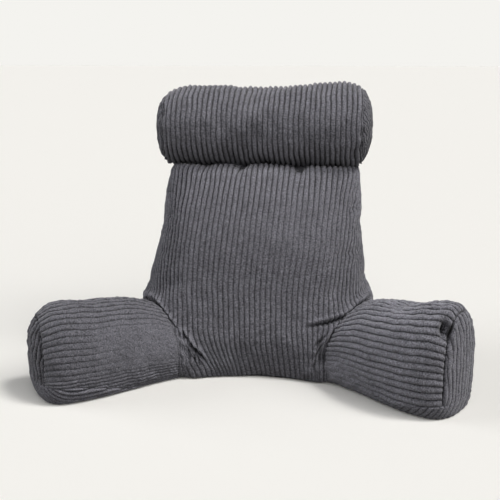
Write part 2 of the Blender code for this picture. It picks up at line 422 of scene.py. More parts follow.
# ---------------------------------------------------------------- backrest
# Sewing pulls: x, z and depth along each crease of the front panel. LEFT_TUCK runs on from the left arm's
# seam, LEFT_CORNER and the start of RIGHT_TUCK lie above the arms, and the slits are where cloth is bunched.
LEFT_TUCK = ((-0.131, 0.081, 0.0065), (-0.117, 0.063, 0.0085), (-0.103, 0.0485, 0.0075),
             (-0.094, 0.039, 0.003), (-0.088, 0.031, 0.0))
LEFT_CORNER = ((-0.226, 0.118, 0.003), (-0.214, 0.1245, 0.005), (-0.200, 0.1260, 0.006),
               (-0.188, 0.1240, 0.006), (-0.176, 0.116, 0.003), (-0.165, 0.107, 0.0))
RIGHT_TUCK = ((0.222, 0.122, 0.001), (0.212, 0.128, 0.004), (0.202, 0.1300, 0.007), (0.187, 0.1285, 0.0075),
              (0.173, 0.1205, 0.007), (0.160, 0.1150, 0.007), (0.145, 0.1115, 0.007), (0.127, 0.107, 0.006),
              (0.106, 0.103, 0.004), (0.088, 0.101, 0.0))
SLITS = (
    ((0.134, 0.092, 0.001), (0.119, 0.0755, 0.0045), (0.112, 0.063, 0.001)),
    ((0.123, 0.085, 0.001), (0.114, 0.074, 0.0035), (0.106, 0.0625, 0.001)),
    ((0.1275, 0.078, 0.001), (0.117, 0.061, 0.0045), (0.109, 0.0465, 0.002), (0.104, 0.040, 0.0)),
    ((0.1205, 0.063, 0.001), (0.1185, 0.048, 0.0040), (0.1165, 0.033, 0.001)),
    ((0.112, 0.045, 0.000), (0.108, 0.032, 0.0030), (0.110, 0.018, 0.001)),
    ((-0.121, 0.056, 0.001), (-0.1175, 0.042, 0.0035), (-0.119, 0.030, 0.000)),
    ((-0.113, 0.050, 0.001), (-0.1095, 0.036, 0.0035), (-0.110, 0.026, 0.000)),
    ((-0.1045, 0.041, 0.001), (-0.1015, 0.030, 0.0025), (-0.101, 0.022, 0.0)),
)
# Places where the roll pulls the panel's top edge in: x, depth and width.
DIMPLES = ((0.0735, 0.016, 0.0085), (-0.036, 0.009, 0.0085), (-0.104, 0.006, 0.010))
# Small kinks of the ribs near the panel's edges: x, z, reach along x, and sideways jog.
KINKS = ((-0.178, 0.282, 0.030, 0.0030), (-0.172, 0.262, 0.022, -0.0026), (0.172, 0.334, 0.026, 0.0030),
         (0.176, 0.222, 0.028, -0.0032), (0.182, 0.200, 0.020, 0.0024), (-0.186, 0.215, 0.020, 0.0020),
         (0.165, 0.300, 0.016, -0.0018))


def front_reach(x, z):
    """How far the foot of the front stands out beyond its plain section, most of all beside the arms."""
    return fall(z, 0.0, 0.060) * (0.011 * bump(np.abs(x), 0.115, 0.030) - 0.009 * bump(x, 0.005, 0.060))


def make_backrest():
    rows, around = 200, 660
    t_all = np.linspace(0.0, len(BACKREST) - 1.0, 2000)
    level = spline(BACKREST, t_all)
    run = lengths(level[:, [0, 3]])
    start = np.interp(FLOOR_CLEAR, level[:, 0], run)
    t = np.interp(np.linspace(start, run[-1], rows), run, t_all)
    base, seams, girth = [], [], []
    for value in t:
        ring, seam, total = backrest_section(value, around)
        base.append(ring)
        seams.append(seam)
        girth.append(total)
    base, seams, girth = np.array(base), np.array(seams), np.array(girth)
    front = fall(base[..., 1], -0.02, 0.02)
    base[..., 1] -= front * front_reach(base[..., 0], base[..., 2])
    base = press_roll(settle(base, 3))
    z = base[:, 0, 2]

    cloth = Cloth()
    # front panel: rib coordinate 0 is the middle of the front, and rows are closest where the tucks are
    crisp = int(np.searchsorted(z, 0.150))
    keep = np.unique(np.concatenate((np.arange(0, crisp), np.arange(crisp, rows, 3), [rows - 1])))
    c = rib_columns(-43, 43)
    flat = c[None] * PITCH
    height = z[keep][:, None]
    girth = girth[:, None]
    right, left = (seams[:, :1] * girth)[keep], ((seams[:, 1:] - 1.0) * girth)[keep]
    s = np.clip(flat + front_drift(flat, height), left, right)
    edge = np.minimum(s - left, right - s)
    u = np.mod(s / girth[keep], 1.0) * (around - 1)
    soft = 0.55 * bump(flat, 0.055, 0.105) * bump(height, 0.250, 0.080)
    # grooves widen towards the top and near the sides; their dark colour near the sides is painted shade
    # where the cloth turns away
    narrow = ramp(height, 0.24, 0.35) + 1.3 * ramp(np.abs(flat), 0.120, 0.180) * ramp(height, 0.10, 0.16)
    profile = faded(rib_profile(c)[None] ** (1.0 + narrow), soft)
    face = put_ribs(cloth, base, keep[:, None], u, profile, ramp(edge, 0.0, 0.004), backrest_folds)

    # back panel
    c = rib_columns(-34, 34)[::2]
    keep = np.append(keep[:-1:2], keep[-1])
    low, high = (seams[:, :1] * girth)[keep], (seams[:, 1:] * girth)[keep]
    s = np.clip((low + high) / 2.0 + c[None] * PITCH, low, high)
    edge = np.minimum(s - low, high - s)
    u = s / girth[keep] * (around - 1)
    profile = rib_profile(c)[None]
    rear = put_ribs(cloth, base, keep[:, None], u, profile, ramp(edge, 0.0, 0.004), backrest_folds)
    for row, first in ((0, True), (-1, False)):
        cloth.cap(np.vstack((face[row], rear[row])), first)
    return cloth.build("backrest_cover")


def press_roll(points):
    """Pushes the top of the backrest out of the space that the neck roll fills."""
    radius = np.interp(points[..., 0], ROLL_LEVELS[:, 0], ROLL_LEVELS[:, 1], left=0.0, right=0.0) + 0.002
    offset = points[..., 1:] - np.array((ROLL_Y, ROLL_Z))
    away = np.linalg.norm(offset, axis=-1)
    push = np.maximum(radius - away, 0.0)
    points = points.copy()
    points[..., 1:] += offset / np.maximum(away, 1e-6)[..., None] * push[..., None]
    return points


def front_drift(s, z):
    """Where the front panel's ribs run, as a shift to the right of straight up."""
    shift = 0.032 * fall(z, 0.0, 0.095) * ramp(-s, 0.02, 0.12)
    shift += 0.010 * fall(z, 0.0, 0.075) * bump(s, -0.02, 0.07)
    shift += 0.30 * (0.104 - s) * bump(s, 0.104, 0.040) * fall(z, 0.010, 0.100)
    shift -= 0.016 * ramp(s, 0.112, 0.150) * fall(z, 0.030, 0.105)
    shift += 0.025 * ramp(z, 0.12, 0.40) * fall(s, -0.30, 0.12)
    shift += 0.085 * s * ramp(z, 0.08, 0.26)
    for x, depth, width in DIMPLES:
        shift -= 30.0 * depth * (s - x) * bump(s, x, 2.2 * width) * ramp(z, 0.335, 0.382)
    place = joined(0.6 * s, 0.8 * z, 0.0)
    border = ramp(np.abs(s), 0.09, 0.20)
    shift += (0.0004 + 0.0006 * border) * ripple(place, 0.040, 71)
    shift += (0.0002 + 0.0006 * border) * ripple(place, 0.015, 72)
    for x, level, reach, jog in KINKS:
        near = bump(0.95 * s, x, reach) * bump(z, level, 0.012)
        shift += jog * near * np.tanh((z - level) / 0.0035)
    return shift


def fillet(gap, reach):
    """How far a surface bulges where it runs into another that is gap metres away, so that they blend."""
    return 0.25 * reach * np.maximum(1.0 - np.abs(gap) / reach, 0.0) ** 2


# Foot of each arm's joint with the front: the heights between which it ends, how flat it leaves the ribs, and
# how far its fillet reaches.
JOINT_FOOT = {-1: (0.068, 0.090, 0.95, 0.034), 1: (0.020, 0.050, 0.80, 0.026)}


def joint_blend(side, points, gap, round_corner, level):
    """Fillets and creases where an arm joins the backrest, and how flat they leave the ribs, which also
    darkens the crease as painted shade. The corner on top and the foot of the front are rounded, and the
    crease between them is deep and narrow."""
    z = points[..., 2]
    low, high, flat, reach = JOINT_FOOT[side]
    corner = ramp(z, level, level + 0.015)
    foot = fall(z, low, high) * ramp(-points[..., 1], 0.02, 0.06)
    soft = foot * flat
    sink = 0.0085 * bump(gap, 0.0, 0.0034) * (1.0 - soft)
    sink = sink - corner * fillet(gap, round_corner) - foot * fillet(gap, reach)
    return sink, 1.0 - 0.55 * (1.0 - ramp(np.abs(gap), 0.0, 0.0030)) * (1.0 - soft)


def backrest_folds(points):
    """Inward creases of the backrest's cover, and how much each scales its ribs. That scale also sets the
    ribs' colour:
    painted shade in the creases, slits and joints, a painted highlight on the beads and painted light towards
    the top of the front panel.
    """
    x, y, z = np.moveaxis(points, -1, 0)
    front = fall(y, 0.06, 0.09)
    sink, rib_scale_and_painted_shade = np.zeros_like(x), np.ones_like(x)
    for side in (-1, 1):
        d = arm_depth(side, points)
        joint, flat = joint_blend(side, points, d, 0.034, 0.124)
        beads = bump(d, 0.0070, 0.0035) * fall(y, -0.04, 0.02) * ramp(z, 0.060, 0.080)
        sink += joint - 0.0016 * beads
        # flatter, darker ribs at the joint are painted shade; taller, paler ribs on the beads are a painted
        # highlight
        rib_scale_and_painted_shade *= flat * (1.0 + 0.7 * beads)
    for path in (LEFT_TUCK, LEFT_CORNER, RIGHT_TUCK):
        # the stitches gather the ribs, so the crease is scalloped like a rope
        scallop = np.sin(x * (2.0 * math.pi / 0.0086))
        groove = crease(x, z + 0.0011 * scallop, path, 0.0025) * front
        beads = crease(x, z - 0.0066, path, 0.0038) * front * (1.0 + 0.5 * scallop)
        sink += 1.15 * groove - 0.35 * beads
        # flat, dark ribs in the crease are painted shade; taller, paler ribs on the beads beside it a painted
        # highlight
        rib_scale_and_painted_shade *= (1.0 - 0.8 * np.minimum(groove / 0.0055, 1.0)) * (1.0 + 100.0 * beads)
    for path in SLITS:
        groove = 1.5 * crease(x, z, path, 0.0019) * front
        sink += groove
        # flat, dark ribs in the slit are painted shade
        rib_scale_and_painted_shade *= 1.0 - np.minimum(groove / 0.006, 0.7)
    bunch = bump(x, 0.122, 0.026) * fall(z, 0.085, 0.105)
    bunch += bump(x, -0.112, 0.014) * fall(z, 0.045, 0.062)
    sink += 0.0013 * bunch * front * ripple(points, 0.017, 80)
    for at, level, reach, _ in KINKS:
        sink += 0.0014 * bump(x, at, 1.2 * reach) * bump(z, level, 0.0035) * front
    for at, depth, width in DIMPLES:
        # a V between the roll and the panel, widest at the top edge
        spread = 0.25 * width + 1.1 * width * ramp(z, 0.356, 0.386)
        sink += depth * bump(x, at, spread) * ramp(z, 0.354, 0.384) * front
    # the top edge puffs out below the roll and turns in under it
    sink += (0.0100 * ramp(z, 0.371, 0.387) - 0.0028 * bump(z, 0.362, 0.010)) * front
    # taller, paler ribs towards the top of the front are painted light, and flatter, darker ones lower down
    # painted shade
    return sink, np.minimum(rib_scale_and_painted_shade, 1.9) * (1.0 + front * (0.70 * ramp(z, 0.20, 0.37) - 0.18))


def faded(profile, amount):
    """Rib profile with its grooves filled in by an amount, as on brushed or stretched cloth."""
    return 1.0 - (1.0 - profile) * (1.0 - amount)


def put_ribs(cloth, base, v, u, profile, amount, folds):
    """Samples a form along its ribs, creases it, raises the ribs and adds the grid to the cloth. The rib
    value, profile times amount, also sets the colour, so where a fold lowers the amount it paints shade.
    """
    points, up = sample(base, v, u), sample(normals(base), v, u)
    up /= np.maximum(np.linalg.norm(up, axis=-1, keepdims=True), 1e-9)
    shape = points.shape[:-1]
    sink, rib_scale_and_painted_shade = folds(points)
    points = points - up * np.broadcast_to(sink, shape)[..., None]
    amount = np.broadcast_to(amount * rib_scale_and_painted_shade, shape)
    profile = np.broadcast_to(profile, shape)
    pile = 1.0 + 0.17 * ripple(points, 0.012, 90) + 0.12 * ripple(points, 0.0055, 91)
    grid = raise_ribs(points, up, profile, amount * pile) + SHIFT
    grid[..., 2] = np.maximum(grid[..., 2], LOWEST_COVER)
    cloth.add(grid, profile * amount)
    return grid


SIM_CELL = 0.0095  # mesh size of the simulated covers
SIM_FRAMES = 20
SIM_START = 0.0010  # a form starts this much smaller, since its filling swells it
SIM_MOST = 0.0050  # no point of a cover ends farther than this from its form


def blown_up(base):
    """How a form's cover moves when its filling presses on it: a short cloth simulation of a closed, coarser
    copy. base is a grid of closed rings. Its first and last rings, and what lies on the floor, are held."""
    rows = int(round(lengths(base[:, 0])[-1] / SIM_CELL)) + 1
    columns = int(round(lengths(base[len(base) // 2])[-1] / SIM_CELL))
    v, u = np.meshgrid(np.linspace(0.0, len(base) - 1.0, rows),
                       np.linspace(0.0, base.shape[1] - 1.0, columns + 1)[:-1], indexing="ij")
    points = sample(base, v, u)
    ring = np.arange(rows)[:, None]
    held = 1.0 - ramp(np.minimum(ring, rows - 1 - ring), 0.0, 3.0)
    held = np.maximum(held, fall(points[..., 2], 0.008, 0.030))
    start = points - sample(normals(base), v, u) * (SIM_START * (1.0 - held))[..., None]
    corners = np.vstack((start.reshape(-1, 3), start[0].mean(axis=0), start[-1].mean(axis=0)))
    index = np.arange(rows * columns).reshape(rows, columns)
    after = np.roll(index, -1, axis=1)
    faces = np.stack((index[:-1], after[:-1], after[1:], index[1:]), axis=-1).reshape(-1, 4).tolist()
    faces += [(rows * columns, int(b), int(a)) for a, b in zip(index[0], after[0])]
    faces += [(rows * columns + 1, int(a), int(b)) for a, b in zip(index[-1], after[-1])]
    mesh = bpy.data.meshes.new("cover")
    mesh.from_pydata(corners.tolist(), [], faces)
    turned = bmesh.new()
    turned.from_mesh(mesh)
    bmesh.ops.recalc_face_normals(turned, faces=turned.faces)
    turned.to_mesh(mesh)
    turned.free()
    cover = placed("cover", mesh)
    group = cover.vertex_groups.new(name="held")
    weights = np.append(held.reshape(-1), (1.0, 1.0))
    for number, weight in enumerate(weights.tolist()):
        if weight > 0.01:
            group.add([number], weight, "REPLACE")
    cloth = cover.modifiers.new("Cloth", "CLOTH")
    rules = cloth.settings
    rules.quality, rules.mass = 5, 0.3
    rules.tension_stiffness = rules.compression_stiffness = 15.0
    rules.shear_stiffness, rules.bending_stiffness = 5.0, 0.5
    rules.shrink_min = -0.010
    rules.use_pressure, rules.uniform_pressure_force = True, 4.0
    rules.vertex_group_mass = "held"
    rules.effector_weights.gravity = 0.0
    cloth.collision_settings.use_collision = False
    cloth.point_cache.frame_end = SIM_FRAMES
    for frame_number in range(1, SIM_FRAMES + 1):
        bpy.context.scene.frame_set(frame_number)
    with bpy.context.temp_override(object=cover, active_object=cover):
        bpy.ops.object.modifier_apply(modifier=cloth.name)
    ends = np.empty(len(corners) * 3)
    cover.data.vertices.foreach_get("co", ends)
    bpy.data.objects.remove(cover)
    bpy.context.scene.frame_set(1)

    move = ends.reshape(-1, 3)[:-2].reshape(rows, columns, 3) - points
    size = np.linalg.norm(move, axis=-1, keepdims=True)
    move *= np.minimum(SIM_MOST / np.maximum(size, 1e-9), 1.0)
    # back to the fine grid, smoothly, and closed round each ring
    tall = spline(move.reshape(rows, -1), np.linspace(0.0, rows - 1.0, len(base)))
    tall = tall.reshape(len(base), columns, 3).swapaxes(0, 1).reshape(columns, -1)
    wide = spline(np.vstack((tall[-3:], tall, tall[:4])), 3.0 + np.linspace(0.0, columns, base.shape[1]))
    return wide.reshape(base.shape[1], len(base), 3).swapaxes(0, 1)


def settle(base, seed):
    """Swells a form in a cloth simulation, over the slow undulations that a soft filling has anyway."""
    wave = 0.0012 * ripple(base, 0.11, seed) + 0.0005 * ripple(base, 0.045, seed + 1)
    base = base + normals(base) * wave[..., None]
    return base + blown_up(base)


# ---------------------------------------------------------------- arms
# Looks of each arm. Its cover: x where its ribs start on the inner face, extra close ribs at its foot, how
# far the ribs lift towards the tip, their height, how wide their grooves are, how flat they lie on the
# gusset, and how deep the cover turns in at the gusset and the tip. Its end panel: how deep it turns in, the
# pitch of its ribs, and how wide their grooves are, which on the left panel darkens it as painted shade. Then
# the height of the base cloth's strip, and a seed.
ARM_LOOK = {
    -1: {"start_x": 0.138, "close": 3, "lift": 0.060, "tall": 1.0, "groove": 1.2, "flat": 0.35,
         "root": 0.0008, "tip": 0.0012, "hem": 0.0014, "end_pitch": 0.0132, "end_groove_and_painted_shade": 4.2,
         "strip": 0.034, "seed": 11},
    1: {"start_x": 0.130, "close": 0, "lift": 0.035, "tall": 1.3, "groove": 1.7, "flat": 0.9,
        "root": 0.0018, "tip": 0.0022, "hem": 0.0022, "end_pitch": 0.0112, "end_groove_and_painted_shade": 1.0,
        "strip": 0.026, "seed": 19},
}
ARM_RIBS = 18  # from the top to either foot
CLOSE_FROM = -0.76  # share of the way to the inner foot where the close ribs start


def arm_grid(side, rows=150, around=340):
    """The arm's form from the root to its end seam, and the places of its inner foot, top and outer foot.
    Columns start at the bottom and go up the inner face, over the top and down the outer face."""
    t = np.linspace(0.0, ARM_SEAM_ROW, 1200)
    spine = arm_sections(side, t, np.full_like(t, 0.5 * math.pi))
    run = lengths(spine)
    t = np.interp(np.linspace(0.0, run[-1], rows), run, t)
    angle = np.linspace(-0.5 * math.pi, 1.5 * math.pi, 2401)
    grid, marks = [], []
    for value in t:
        ring = arm_sections(side, np.full_like(angle, value), angle)
        above = np.nonzero(ring[:, 2] > FLOOR_CLEAR)[0]
        ring[:, 2] = np.maximum(ring[:, 2], FLOOR_CLEAR)
        run = lengths(ring)
        marks.append((run[above[0]], run[len(angle) // 2], run[above[-1]]) / run[-1] * (around - 1))
        grid.append(even(ring, around))
    return np.array(grid), np.array(marks)


def arm_row_at(side, grid, x_inner):
    """Row whose inner face, a third of the way up, reaches the given x."""
    inner = grid[:, grid.shape[1] // 5, 0] * side
    return float(np.interp(x_inner, inner, np.arange(len(inner))))


def make_arm(side):
    look = ARM_LOOK[side]
    base, marks = arm_grid(side)
    rows, around = base.shape[:2]
    base = settle(base, look["seed"])
    base[..., 2] = np.maximum(base[..., 2], FLOOR_CLEAR)
    pick = np.arange(rows)
    along = lengths(base[:, around // 3])

    first = arm_row_at(side, base, look["start_x"])
    start = np.interp(first, pick, along)
    c = rib_columns(-ARM_RIBS - look["close"], ARM_RIBS)
    share = c / (ARM_RIBS + 0.5)
    if look["close"]:
        # the lowest ribs of the left arm's inner face lie closer together
        room = 1.0 + CLOSE_FROM
        squeezed = CLOSE_FROM + room * (share - CLOSE_FROM) / (room + look["close"] / (ARM_RIBS + 0.5))
        share = np.where(share > CLOSE_FROM, share, squeezed)
    v_rows = np.linspace(first, rows - 1.0, 100)
    distance = np.interp(v_rows, pick, along)[:, None]
    from_start, from_end = distance - start, along[-1] - distance
    travel = from_start / (along[-1] - start)

    # ribs wander most on top, where the cloth is slack
    place = joined(distance, 0.16 * share[None], 0.0)
    slack = bump(share[None], -0.12, 0.30)
    wander = (0.0025 + 0.0055 * slack) * ripple(place, 0.070, 30 + side)
    wander += (0.0012 + 0.0020 * slack) * ripple(place, 0.022, 33 + side)
    share = share[None] + wander * ramp(1.0 - np.abs(share[None]), 0.0, 0.08)
    # towards the tip the ribs run straight on, while the arm itself slopes down
    share += look["lift"] * np.maximum((travel - 0.62) / 0.38, 0.0) ** 2 * (1.0 - share**2)
    inner, top, outer = (np.interp(v_rows, pick, marks[:, k])[:, None] for k in range(3))
    u = np.where(share < 0.0, top + share * (top - inner), top + share * (outer - top))
    seam_columns = u[0]
    amount = look["tall"] * ramp(from_end, 0.0, 0.003) * (1.0 - look["flat"] * fall(from_start, 0.0, 0.004))
    # worn is where the pile is brushed or stretched flat
    if side < 0:
        worn = 0.88 * ramp(-share, 0.26, 0.44) * ramp(share, -0.88, -0.70) * (1.0 - ramp(travel, 0.40, 1.0))
        worn += 0.32 * ramp(-share, 0.10, 0.30) * (1.0 - worn)
    else:
        amount *= 1.0 - 0.28 * ramp(travel, 0.55, 0.90)
        worn = 0.75 * ramp(-share, 0.60, 0.80) * (1.0 - ramp(travel, 0.12, 0.62))
        worn += 0.12 * ramp(-share, 0.10, 0.30)

    def joint_folds(points):
        sink, rib_scale_and_painted_shade = joint_blend(side, points, backrest_depth(points), 0.042, 0.132)
        return sink + 0.0026 * below_strip(side, points), rib_scale_and_painted_shade

    def folds(points):
        sink, rib_scale_and_painted_shade = joint_folds(points)
        sink += look["tip"] * fall(from_end, 0.0, 0.004) + look["root"] * fall(from_start, 0.0, 0.006)
        if side < 0:
            return sink, rib_scale_and_painted_shade
        hole = pinch(points)
        # the hole's ribs drop below flat, so it takes the dark groove colour: painted shade in the hole
        return sink + 0.024 * hole, rib_scale_and_painted_shade * (1.0 - 1.7 * hole)

    cloth = Cloth()
    profile = faded(rib_profile(c)[None] ** look["groove"], worn)
    outside = put_ribs(cloth, base, v_rows[:, None], u, profile, amount, folds)

    # flat underside, between the two feet
    under = np.linspace(0.0, 1.0, 8)[None]
    u = np.concatenate((outer + under * (around - 1.0 - outer), under * inner), axis=1)
    bottom = put_ribs(cloth, base, v_rows[:, None], u, 0.0, 0.0, folds)
    cloth.cap(np.vstack((outside[-1], bottom[-1])))

    # the gusset between this arm and the front panel: upright, crumpled ribs
    hidden = np.interp(start - 0.050, along, pick)
    v_low = np.concatenate((np.linspace(0.0, hidden, 10)[:-1], np.linspace(hidden, first, 64)))
    v, u = np.meshgrid(v_low, np.unique(np.concatenate((u[0], seam_columns))), indexing="ij")
    past = np.interp(v, pick, along) - start
    points = sample(base, v, u)
    wander = 0.45 * ripple(points, 0.045, 40 + side) + 0.30 * ripple(points, 0.016, 50 + side)
    upright = rib_profile(past / (0.62 * PITCH) + wander)
    amount = 1.0 - look["flat"] * ramp(past, -0.003, 0.0)

    def gusset_folds(points):
        sink, rib_scale_and_painted_shade = joint_folds(points)
        sink += look["root"] * ramp(past, -0.006, 0.0)
        return sink + 0.0018 * ripple(points, 0.020, 60 + side) * ramp(-past, 0.0, 0.006), rib_scale_and_painted_shade

    root = put_ribs(cloth, base, v, u, upright, amount, gusset_folds)
    cloth.cap(root[0], True)
    return cloth.build("arm_cover_" + SIDES[side])


def spot(points, middle, spread):
    """Rises to 1 in the middle of a place with the given spread along x, y and z."""
    offset = (points - np.array(middle)) / np.array(spread)
    return np.exp(-np.sum(offset**2, axis=-1))


def pinch(points):
    """The small hole pinched into the top corner of the right arm."""
    return spot(points, (0.3200, -0.2180, 0.1580), (0.0080, 0.0120, 0.0145))


def overhang(points):
    """The fold of the right end panel that bulges beside that hole."""
    return spot(points, (0.3310, -0.2120, 0.1590), (0.0075, 0.0120, 0.0210))


def strip_height(side, points):
    """Height of the seam where the base cloth, turned up a little, meets an arm."""
    return 0.005 + (ARM_LOOK[side]["strip"] - 0.005) * ramp(np.abs(points[..., 0]), 0.19, 0.31)


def below_strip(side, points):
    """Rises from 0 to 1 just above that seam's height, downwards."""
    hem = strip_height(side, points)
    return fall(points[..., 2], hem - 0.003, hem)


# ---------------------------------------------------------------- end panels
def dome(points_at, rows, columns, power_top, power_base):
    """Grid over a dome from flat panel coordinates. points_at(p, q) takes p and q from -1 to 1."""
    b = np.linspace(-0.5 * math.pi, 0.5 * math.pi, rows)
    power = np.where(b > 0.0, power_top, power_base)
    q = signed_power(np.sin(b), 2.0 / power)
    reach = np.abs(np.cos(b)) ** (2.0 / power)
    g = np.linspace(-1.0, 1.0, columns)
    return points_at(g[None] * reach[:, None], np.broadcast_to(q[:, None], (rows, columns)))


def panel_ribs(base, c, pitch, shift):
    """Where the upright ribs c of an end panel run over its dome: every other row of the grid, the columns,
    and the distance to the panel's rim."""
    rows, columns = base.shape[:2]
    keep = np.arange(0, rows, 2)
    across, up = lengths(base, axis=1)[keep], lengths(base[:, columns // 2])
    s = np.clip(across[:, [columns // 2]] + c[None] * pitch + shift, 0.0, across[:, -1:])
    edge = np.minimum(s, across[:, -1:] - s)
    edge = np.minimum(edge, np.minimum(up, up[-1] - up)[keep][:, None])
    u = np.stack([np.interp(line, run, np.arange(columns)) for line, run in zip(s, across)])
    return keep[:, None], u, edge


def make_arm_end(side):
    t = np.linspace(len(ARM[side]) - 1.0, ARM_SEAM_ROW, 400)
    run = lengths(arm_sections(side, t, np.zeros_like(t)))
    run /= run[-1]

    def points_at(p, q):
        size = rim_share(p, q, np.where(q > 0.0, END_TOP_POWER, ARM_BASE_POWER))
        centre, inwards, half, reach, _ = arm_frame(side, np.interp(size, run, t))
        scale = 1.0 / np.maximum(size, 1e-6)
        points = centre + inwards * (half * p * scale)[..., None]
        points[..., 2] += reach * q * scale
        return points

    base = dome(points_at, 121, 141, END_TOP_POWER, ARM_BASE_POWER)
    c = rib_columns(-9, 9)
    z = base[::2, base.shape[1] // 2, 2][:, None]
    wave = 0.0026 * np.sin(z * 105.0 + 0.9 * c[None]) + 0.0016 * np.sin(z * 230.0 - 1.7 * c[None])
    wave *= ramp(c[None], 0.0, 2.2) if side < 0 else 0.30
    v, u, edge = panel_ribs(base, c, ARM_LOOK[side]["end_pitch"], wave)

    def folds(points):
        sink = ARM_LOOK[side]["hem"] * fall(edge, 0.0, 0.004) + 0.0014 * below_strip(side, points)
        if side < 0:
            return sink + 0.0009 + 0.0006 * ripple(points, 0.026, 64), 1.0
        hole = pinch(points)
        # the hole's ribs are lowered, so it is also darker: painted shade
        return sink + 0.006 * hole - 0.0072 * overhang(points), 1.0 - 0.4 * hole

    cloth = Cloth()
    # wide grooves on the left end panel paint it dark: painted shade
    profile = rib_profile(c)[None] ** ARM_LOOK[side]["end_groove_and_painted_shade"]
    put_ribs(cloth, base, v, u, profile, 1.1 * ramp(edge, 0.0, 0.003), folds)
    return cloth.build("arm_end_cover_" + SIDES[side])


# ---------------------------------------------------------------- neck roll
# Dents near the ends of the roll: place, depth and width.
ROLL_DENTS = (((-0.186, 0.035, 0.476), 0.0050, 0.008), ((-0.188, 0.034, 0.426), 0.0040, 0.010),
              ((0.172, 0.022, 0.486), 0.0040, 0.007), ((0.181, 0.028, 0.474), 0.0035, 0.006),
              ((0.150, 0.030, 0.407), 0.0040, 0.008), ((0.171, 0.036, 0.401), 0.0045, 0.007))


def make_roll(rows=240, around=193):
    profile = even(smooth(ROLL, 4000), 1200)
    profile = even(profile[np.abs(profile[:, 0]) <= ROLL_SEAM], rows)
    x, radius = profile[None, :, 0], profile[None, :, 1]
    angle = np.linspace(0.0, 2.0 * math.pi, around)[:, None]
    base = joined(x, ROLL_Y + radius * np.cos(angle), ROLL_Z + radius * np.sin(angle))
    base = sagged(settle(base.swapaxes(0, 1), 27).swapaxes(0, 1))
    base[-1] = base[0]
    run = lengths(profile)
    c = rib_columns(-21, 21)
    keep = np.arange(0, around, 2)
    # the ribs bow to the left across the front of the roll
    ahead, rise = np.cos(angle[keep]), np.sin(angle[keep])
    flat = c[None] * PITCH
    place = joined(0.6 * flat, 0.08 * ahead, 0.08 * rise)
    flat = flat + 0.0045 * rise**2 * np.sin(math.pi * np.clip(flat / run[-1] + 0.5, 0.0, 1.0))
    flat += 0.0006 * ripple(place, 0.040, 75) + 0.0003 * ripple(place, 0.015, 76)
    s = np.clip(run[-1] / 2.0 + flat, 0.0, run[-1])
    edge = np.minimum(s, run[-1] - s)

    def folds(points):
        x, y, z = np.moveaxis(points, -1, 0)
        sink = 0.0008 * fall(edge, 0.0, 0.004) + roll_folds(points)
        under = fall(z, 0.405, 0.418) * ramp(x, 0.10, 0.14) * fall(y, 0.05, 0.08)
        # lower, darker ribs on the roll's underside: painted shade
        return sink + 0.0016 * under * ripple(points, 0.020, 85), 1.0 - 0.20 * ramp(-rise, 0.50, 0.95)

    cloth = Cloth()
    amount = (0.88 + 0.34 * np.maximum(rise, -rise * 1.8) ** 2) * (1.0 - 0.55 * fall(edge, 0.0, 0.0022))
    # grooves widen over the roll's top and more under it; the wider dark grooves underneath are painted shade
    profile = rib_profile(c)[None] ** (1.0 + 1.4 * ramp(rise, 0.25, 0.85) + 3.2 * ramp(-rise, 0.20, 0.80))
    u = np.interp(s, run, np.arange(rows))
    grid = put_ribs(cloth, base, keep[:, None], u, profile, amount, folds).swapaxes(0, 1)
    cloth.cap(grid[0], True)
    cloth.cap(grid[-1])
    return cloth.build("neck_roll_cover")


def sagged(points):
    """The roll's top gives way a little in the middle, where heads rest, and its left end droops."""
    x, up = points[..., 0], points[..., 2] - ROLL_Z
    droop = 0.0024 * ramp(-x, 0.150, 0.190) + 0.0055 * ramp(-up, 0.0, 0.060) * ramp(-x, 0.142, 0.180)
    worn = 0.0012 + 0.0042 * bump(x, -0.005, 0.055)
    worn -= 0.0030 * bump(x, 0.092, 0.032) + 0.0018 * bump(x, 0.158, 0.022)
    drop = droop + worn * ramp(up - droop, 0.0, 0.070)
    return points - drop[..., None] * np.array((0.0, 0.0, 1.0))


def roll_folds(points):
    """Dents and tucks of the roll's cloth beside its end seams."""
    sink = np.zeros(points.shape[:-1])
    for place, depth, width in ROLL_DENTS:
        away = np.linalg.norm((points - np.array(place)) / np.array((1.0, 1.0, 1.6)), axis=-1)
        sink += depth * np.exp(-(away / width) ** 2)
    for side in (-1, 1):
        near = bump(points[..., 0], side * 0.186, 0.016)
        sink += 0.0012 * near * ripple(points, 0.024, 86 + side)
    return sink


# Looks of each round end panel: turn of its ribs in degrees, their pitch, and the size of their zigzag.
ROLL_END_LOOK = {-1: (4.0, 0.0085, 0.4), 1: (32.0, 0.0070, 1.0)}


def make_roll_end(side):
    turn, pitch, wobble = ROLL_END_LOOK[side]
    profile = smooth(ROLL, 4000)
    part = profile[profile[:, 0] * side >= ROLL_SEAM][::-side]
    run = lengths(part)
    run /= run[-1]
    tilt = math.radians(turn)

    def points_at(p, q):
        size = np.sqrt(p * p + q * q)
        x, radius = (np.interp(size, run, part[:, k]) for k in (0, 1))
        scale = radius / np.maximum(size, 1e-6)
        across = p * math.cos(tilt) - q * math.sin(tilt)
        up = p * math.sin(tilt) + q * math.cos(tilt)
        return joined(x, ROLL_Y + across * scale, ROLL_Z + up * scale)

    base = sagged(dome(points_at, 101, 121, 2.0, 2.0))
    c = rib_columns(-13, 13)
    level = lengths(base[:, base.shape[1] // 2])[::2][:, None]
    zigzag = 0.0016 * np.sin(level * 330.0 + 0.6 * c[None]) * wobble
    v, u, edge = panel_ribs(base, c, pitch, zigzag)

    def folds(points):
        return 0.0008 * fall(edge, 0.0, 0.004) + roll_folds(points), 1.0

    cloth = Cloth()
    put_ribs(cloth, base, v, u, rib_profile(c)[None], 0.8 - 0.35 * fall(edge, 0.0, 0.0022), folds)
    return cloth.build("roll_end_cover_" + SIDES[side])


